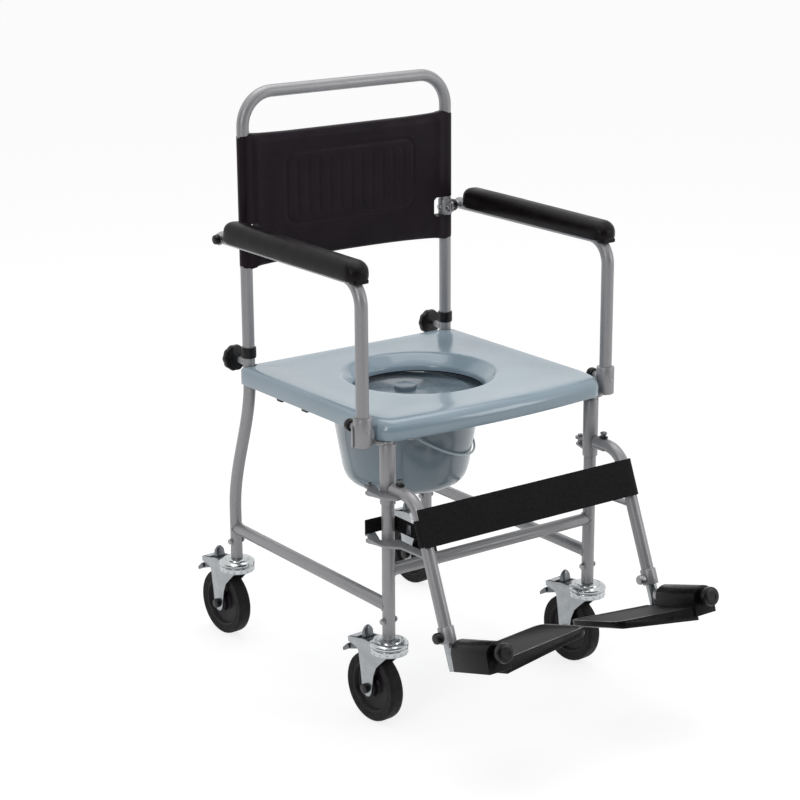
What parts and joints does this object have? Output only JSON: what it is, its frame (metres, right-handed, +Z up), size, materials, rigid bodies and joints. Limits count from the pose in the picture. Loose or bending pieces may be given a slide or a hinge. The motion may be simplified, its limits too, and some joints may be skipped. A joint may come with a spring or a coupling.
{
  "type": "wheeled commode chair",
  "caption": "Attendant-pushed commode chair on braked castors: sliding pan under a moulded seat, flip-up arms, plug-in back, swing-away footrests with a calf strap.",
  "frame": {"origin": "on the floor under the centre of the chair's bounding box", "axes": "+Z up, the chair's front faces -Y, +X is to the right as the chair is seen from the front"},
  "size_m": [0.577, 0.9296, 1.0531],
  "materials": {
    "tube_paint": "silver-grey powder coat, satin",
    "zinc": "bright zinc plated pressed steel",
    "black_plastic": "black moulded plastic with a fine grain",
    "vinyl": "black coated vinyl cloth, satin",
    "webbing": "black woven webbing",
    "seat_plastic": "glossy pale blue-grey moulding",
    "pan_plastic": "satin blue-grey moulding",
    "bail_plastic": "pale blue-grey coated wire",
    "tyre": "black solid rubber tyre on a black centre"
  },
  "bodies": {
    "frame": {"front_leg_left": "tube_paint", "rear_leg_left": "tube_paint", "side_rail_left": "tube_paint", "pan_rail_left": "tube_paint", "arm_socket_left": "tube_paint", "back_collar_left": "black_plastic", "front_leg_right": "tube_paint", "rear_leg_right": "tube_paint", "side_rail_right": "tube_paint", "pan_rail_right": "tube_paint", "arm_socket_right": "tube_paint", "back_collar_right": "black_plastic", "front_cross_tube": "tube_paint", "seat_frame": "tube_paint", "castor_front_left_stem": "zinc", "castor_front_right_stem": "zinc", "castor_rear_left_stem": "zinc", "castor_rear_right_stem": "zinc"},
    "back": {"back_frame_tube": "tube_paint", "back_upholstery": "vinyl", "arm_bracket_left": "zinc", "arm_bracket_right": "zinc"},
    "seat": {"seat_shell": "seat_plastic"},
    "pan": {"commode_pan": "pan_plastic"},
    "lid": {"pan_lid": "pan_plastic"},
    "bail": {"bail_handle": "bail_plastic"},
    "back_clamp_left": {"back_clamp_knob_left": "black_plastic"},
    "arm_left": {"arm_tube_left": "tube_paint", "arm_pad_left": "black_plastic"},
    "plunger_left": {"arm_plunger_left": "black_plastic"},
    "hanger_left": {"hanger_left": "tube_paint", "calf_strap_tail": "webbing"},
    "latch_left": {"hanger_latch_left": "zinc"},
    "height_lock_left": {"height_lock_knob_left": "black_plastic"},
    "stem_left": {"footplate_stem_left": "zinc"},
    "footplate_left": {"footplate_left": "black_plastic"},
    "footplate_screw_left": {"footplate_knob_left": "black_plastic"},
    "back_clamp_right": {"back_clamp_knob_right": "black_plastic"},
    "arm_right": {"arm_tube_right": "tube_paint", "arm_pad_right": "black_plastic"},
    "plunger_right": {"arm_plunger_right": "black_plastic"},
    "hanger_right": {"hanger_right": "tube_paint", "calf_strap": "webbing"},
    "latch_right": {"hanger_latch_right": "zinc"},
    "height_lock_right": {"height_lock_knob_right": "zinc"},
    "stem_right": {"footplate_stem_right": "zinc"},
    "footplate_right": {"footplate_right": "black_plastic"},
    "footplate_screw_right": {"footplate_knob_right": "black_plastic"},
    "castor_front_left": {"castor_front_left_fork": "zinc"},
    "castor_front_left_roller": {"castor_front_left_wheel": "tyre"},
    "castor_front_left_pedal": {"castor_front_left_brake": "zinc"},
    "castor_front_right": {"castor_front_right_fork": "zinc"},
    "castor_front_right_roller": {"castor_front_right_wheel": "tyre"},
    "castor_front_right_pedal": {"castor_front_right_brake": "zinc"},
    "castor_rear_left": {"castor_rear_left_fork": "zinc"},
    "castor_rear_left_roller": {"castor_rear_left_wheel": "tyre"},
    "castor_rear_left_pedal": {"castor_rear_left_brake": "zinc"},
    "castor_rear_right": {"castor_rear_right_fork": "zinc"},
    "castor_rear_right_roller": {"castor_rear_right_wheel": "tyre"},
    "castor_rear_right_pedal": {"castor_rear_right_brake": "zinc"}
  },
  "joints": [
    {"name": "back_lift", "type": "slide", "parent": "frame", "child": "back", "axis": [0, 0, 1], "range_m": [0, 0.07]},
    {"name": "seat_lift", "type": "slide", "parent": "frame", "child": "seat", "axis": [0, 0, 1], "range_m": [0, 0.05]},
    {"name": "pan_slide", "type": "slide", "parent": "frame", "child": "pan", "axis": [0, 1, 0], "range_m": [-0.042, 0.42]},
    {"name": "lid_lift", "type": "slide", "parent": "pan", "child": "lid", "axis": [0, 0, 1], "range_m": [0, 0.01]},
    {"name": "bail_swing", "type": "hinge", "parent": "pan", "child": "bail", "pos_m": [0, 0.125, 0.489], "axis": [-0.7193, -0.6947, 0], "range_deg": [0, 34]},
    {"name": "back_clamp_turn_left", "type": "hinge", "parent": "frame", "child": "back_clamp_left", "pos_m": [-0.222, 0.3, 0.5545], "axis": [0, 1, 0], "continuous": true},
    {"name": "arm_flip_left", "type": "hinge", "parent": "back", "child": "arm_left", "pos_m": [-0.264, 0.3, 0.79], "axis": [-1, 0, 0], "range_deg": [0, 100]},
    {"name": "arm_plunger_pull_left", "type": "slide", "parent": "frame", "child": "plunger_left", "axis": [0, 1, 0], "range_m": [0, 0.008], "stiffness_N_per_m": 400, "springref_m": -0.006},
    {"name": "hanger_swing_left", "type": "hinge", "parent": "frame", "child": "hanger_left", "pos_m": [-0.232, -0.093, 0.427], "axis": [0, 0, -1], "range_deg": [0, 95], "deforming": ["calf_strap_tail"]},
    {"name": "hanger_latch_pull_left", "type": "slide", "parent": "hanger_left", "child": "latch_left", "axis": [0, -1, 0], "range_m": [0, 0.01], "stiffness_N_per_m": 400, "springref_m": -0.006},
    {"name": "height_lock_turn_left", "type": "hinge", "parent": "hanger_left", "child": "height_lock_left", "pos_m": [-0.222, -0.29617, 0.2215], "axis": [-1, 0, 0], "continuous": true},
    {"name": "footrest_height_left", "type": "slide", "parent": "hanger_left", "child": "stem_left", "axis": [0, -0.372, -0.9282], "range_m": [0, 0.09]},
    {"name": "footplate_flip_left", "type": "hinge", "parent": "stem_left", "child": "footplate_left", "pos_m": [-0.222, -0.334, 0.209], "axis": [0, -0.9593, 0.2823], "range_deg": [0, 62]},
    {"name": "footplate_knob_turn_left", "type": "hinge", "parent": "stem_left", "child": "footplate_screw_left", "pos_m": [-0.222, -0.42984, 0.23721], "axis": [0, -0.9593, 0.2823], "continuous": true},
    {"name": "back_clamp_turn_right", "type": "hinge", "parent": "frame", "child": "back_clamp_right", "pos_m": [0.222, 0.3, 0.5545], "axis": [0, 1, 0], "continuous": true},
    {"name": "arm_flip_right", "type": "hinge", "parent": "back", "child": "arm_right", "pos_m": [0.264, 0.3, 0.79], "axis": [-1, 0, 0], "range_deg": [0, 100]},
    {"name": "arm_plunger_pull_right", "type": "slide", "parent": "frame", "child": "plunger_right", "axis": [0, 1, 0], "range_m": [0, 0.008], "stiffness_N_per_m": 400, "springref_m": -0.006},
    {"name": "hanger_swing_right", "type": "hinge", "parent": "frame", "child": "hanger_right", "pos_m": [0.232, -0.093, 0.427], "axis": [0, 0, 1], "range_deg": [0, 95]},
    {"name": "hanger_latch_pull_right", "type": "slide", "parent": "hanger_right", "child": "latch_right", "axis": [0, -1, 0], "range_m": [0, 0.01], "stiffness_N_per_m": 400, "springref_m": -0.006},
    {"name": "height_lock_turn_right", "type": "hinge", "parent": "hanger_right", "child": "height_lock_right", "pos_m": [0.222, -0.29617, 0.2215], "axis": [-1, 0, 0], "continuous": true},
    {"name": "footrest_height_right", "type": "slide", "parent": "hanger_right", "child": "stem_right", "axis": [0, -0.372, -0.9282], "range_m": [0, 0.09]},
    {"name": "footplate_flip_right", "type": "hinge", "parent": "stem_right", "child": "footplate_right", "pos_m": [0.222, -0.33698, 0.20157], "axis": [0, 0.9593, -0.2823], "range_deg": [0, 54]},
    {"name": "footplate_knob_turn_right", "type": "hinge", "parent": "stem_right", "child": "footplate_screw_right", "pos_m": [0.222, -0.43281, 0.22978], "axis": [0, -0.9593, 0.2823], "continuous": true},
    {"name": "castor_front_left_swivel", "type": "hinge", "parent": "frame", "child": "castor_front_left", "pos_m": [-0.222, -0.131, 0.15], "axis": [0, 0, 1], "continuous": true},
    {"name": "castor_front_left_roll", "type": "hinge", "parent": "castor_front_left", "child": "castor_front_left_roller", "pos_m": [-0.22472, -0.0921, 0.0625], "axis": [0.9976, 0.0698, 0], "continuous": true},
    {"name": "castor_front_left_brake_press", "type": "hinge", "parent": "castor_front_left", "child": "castor_front_left_pedal", "pos_m": [-0.22591, -0.07514, 0.1336], "axis": [-0.9976, -0.0698, 0], "range_deg": [0, 16]},
    {"name": "castor_front_right_swivel", "type": "hinge", "parent": "frame", "child": "castor_front_right", "pos_m": [0.222, -0.131, 0.15], "axis": [0, 0, 1], "continuous": true},
    {"name": "castor_front_right_roll", "type": "hinge", "parent": "castor_front_right", "child": "castor_front_right_roller", "pos_m": [0.21928, -0.0921, 0.0625], "axis": [0.9976, 0.0698, 0], "continuous": true},
    {"name": "castor_front_right_brake_press", "type": "hinge", "parent": "castor_front_right", "child": "castor_front_right_pedal", "pos_m": [0.21809, -0.07514, 0.1336], "axis": [-0.9976, -0.0698, 0], "range_deg": [0, 16]},
    {"name": "castor_rear_left_swivel", "type": "hinge", "parent": "frame", "child": "castor_rear_left", "pos_m": [-0.222, 0.363, 0.15], "axis": [0, 0, 1], "continuous": true},
    {"name": "castor_rear_left_roll", "type": "hinge", "parent": "castor_rear_left", "child": "castor_rear_left_roller", "pos_m": [-0.22472, 0.4019, 0.0625], "axis": [0.9976, 0.0698, 0], "continuous": true},
    {"name": "castor_rear_left_brake_press", "type": "hinge", "parent": "castor_rear_left", "child": "castor_rear_left_pedal", "pos_m": [-0.22591, 0.41886, 0.1336], "axis": [-0.9976, -0.0698, 0], "range_deg": [0, 16]},
    {"name": "castor_rear_right_swivel", "type": "hinge", "parent": "frame", "child": "castor_rear_right", "pos_m": [0.222, 0.363, 0.15], "axis": [0, 0, 1], "continuous": true},
    {"name": "castor_rear_right_roll", "type": "hinge", "parent": "castor_rear_right", "child": "castor_rear_right_roller", "pos_m": [0.21928, 0.4019, 0.0625], "axis": [0.9976, 0.0698, 0], "continuous": true},
    {"name": "castor_rear_right_brake_press", "type": "hinge", "parent": "castor_rear_right", "child": "castor_rear_right_pedal", "pos_m": [0.21809, 0.41886, 0.1336], "axis": [-0.9976, -0.0698, 0], "range_deg": [0, 16]}
  ]
}
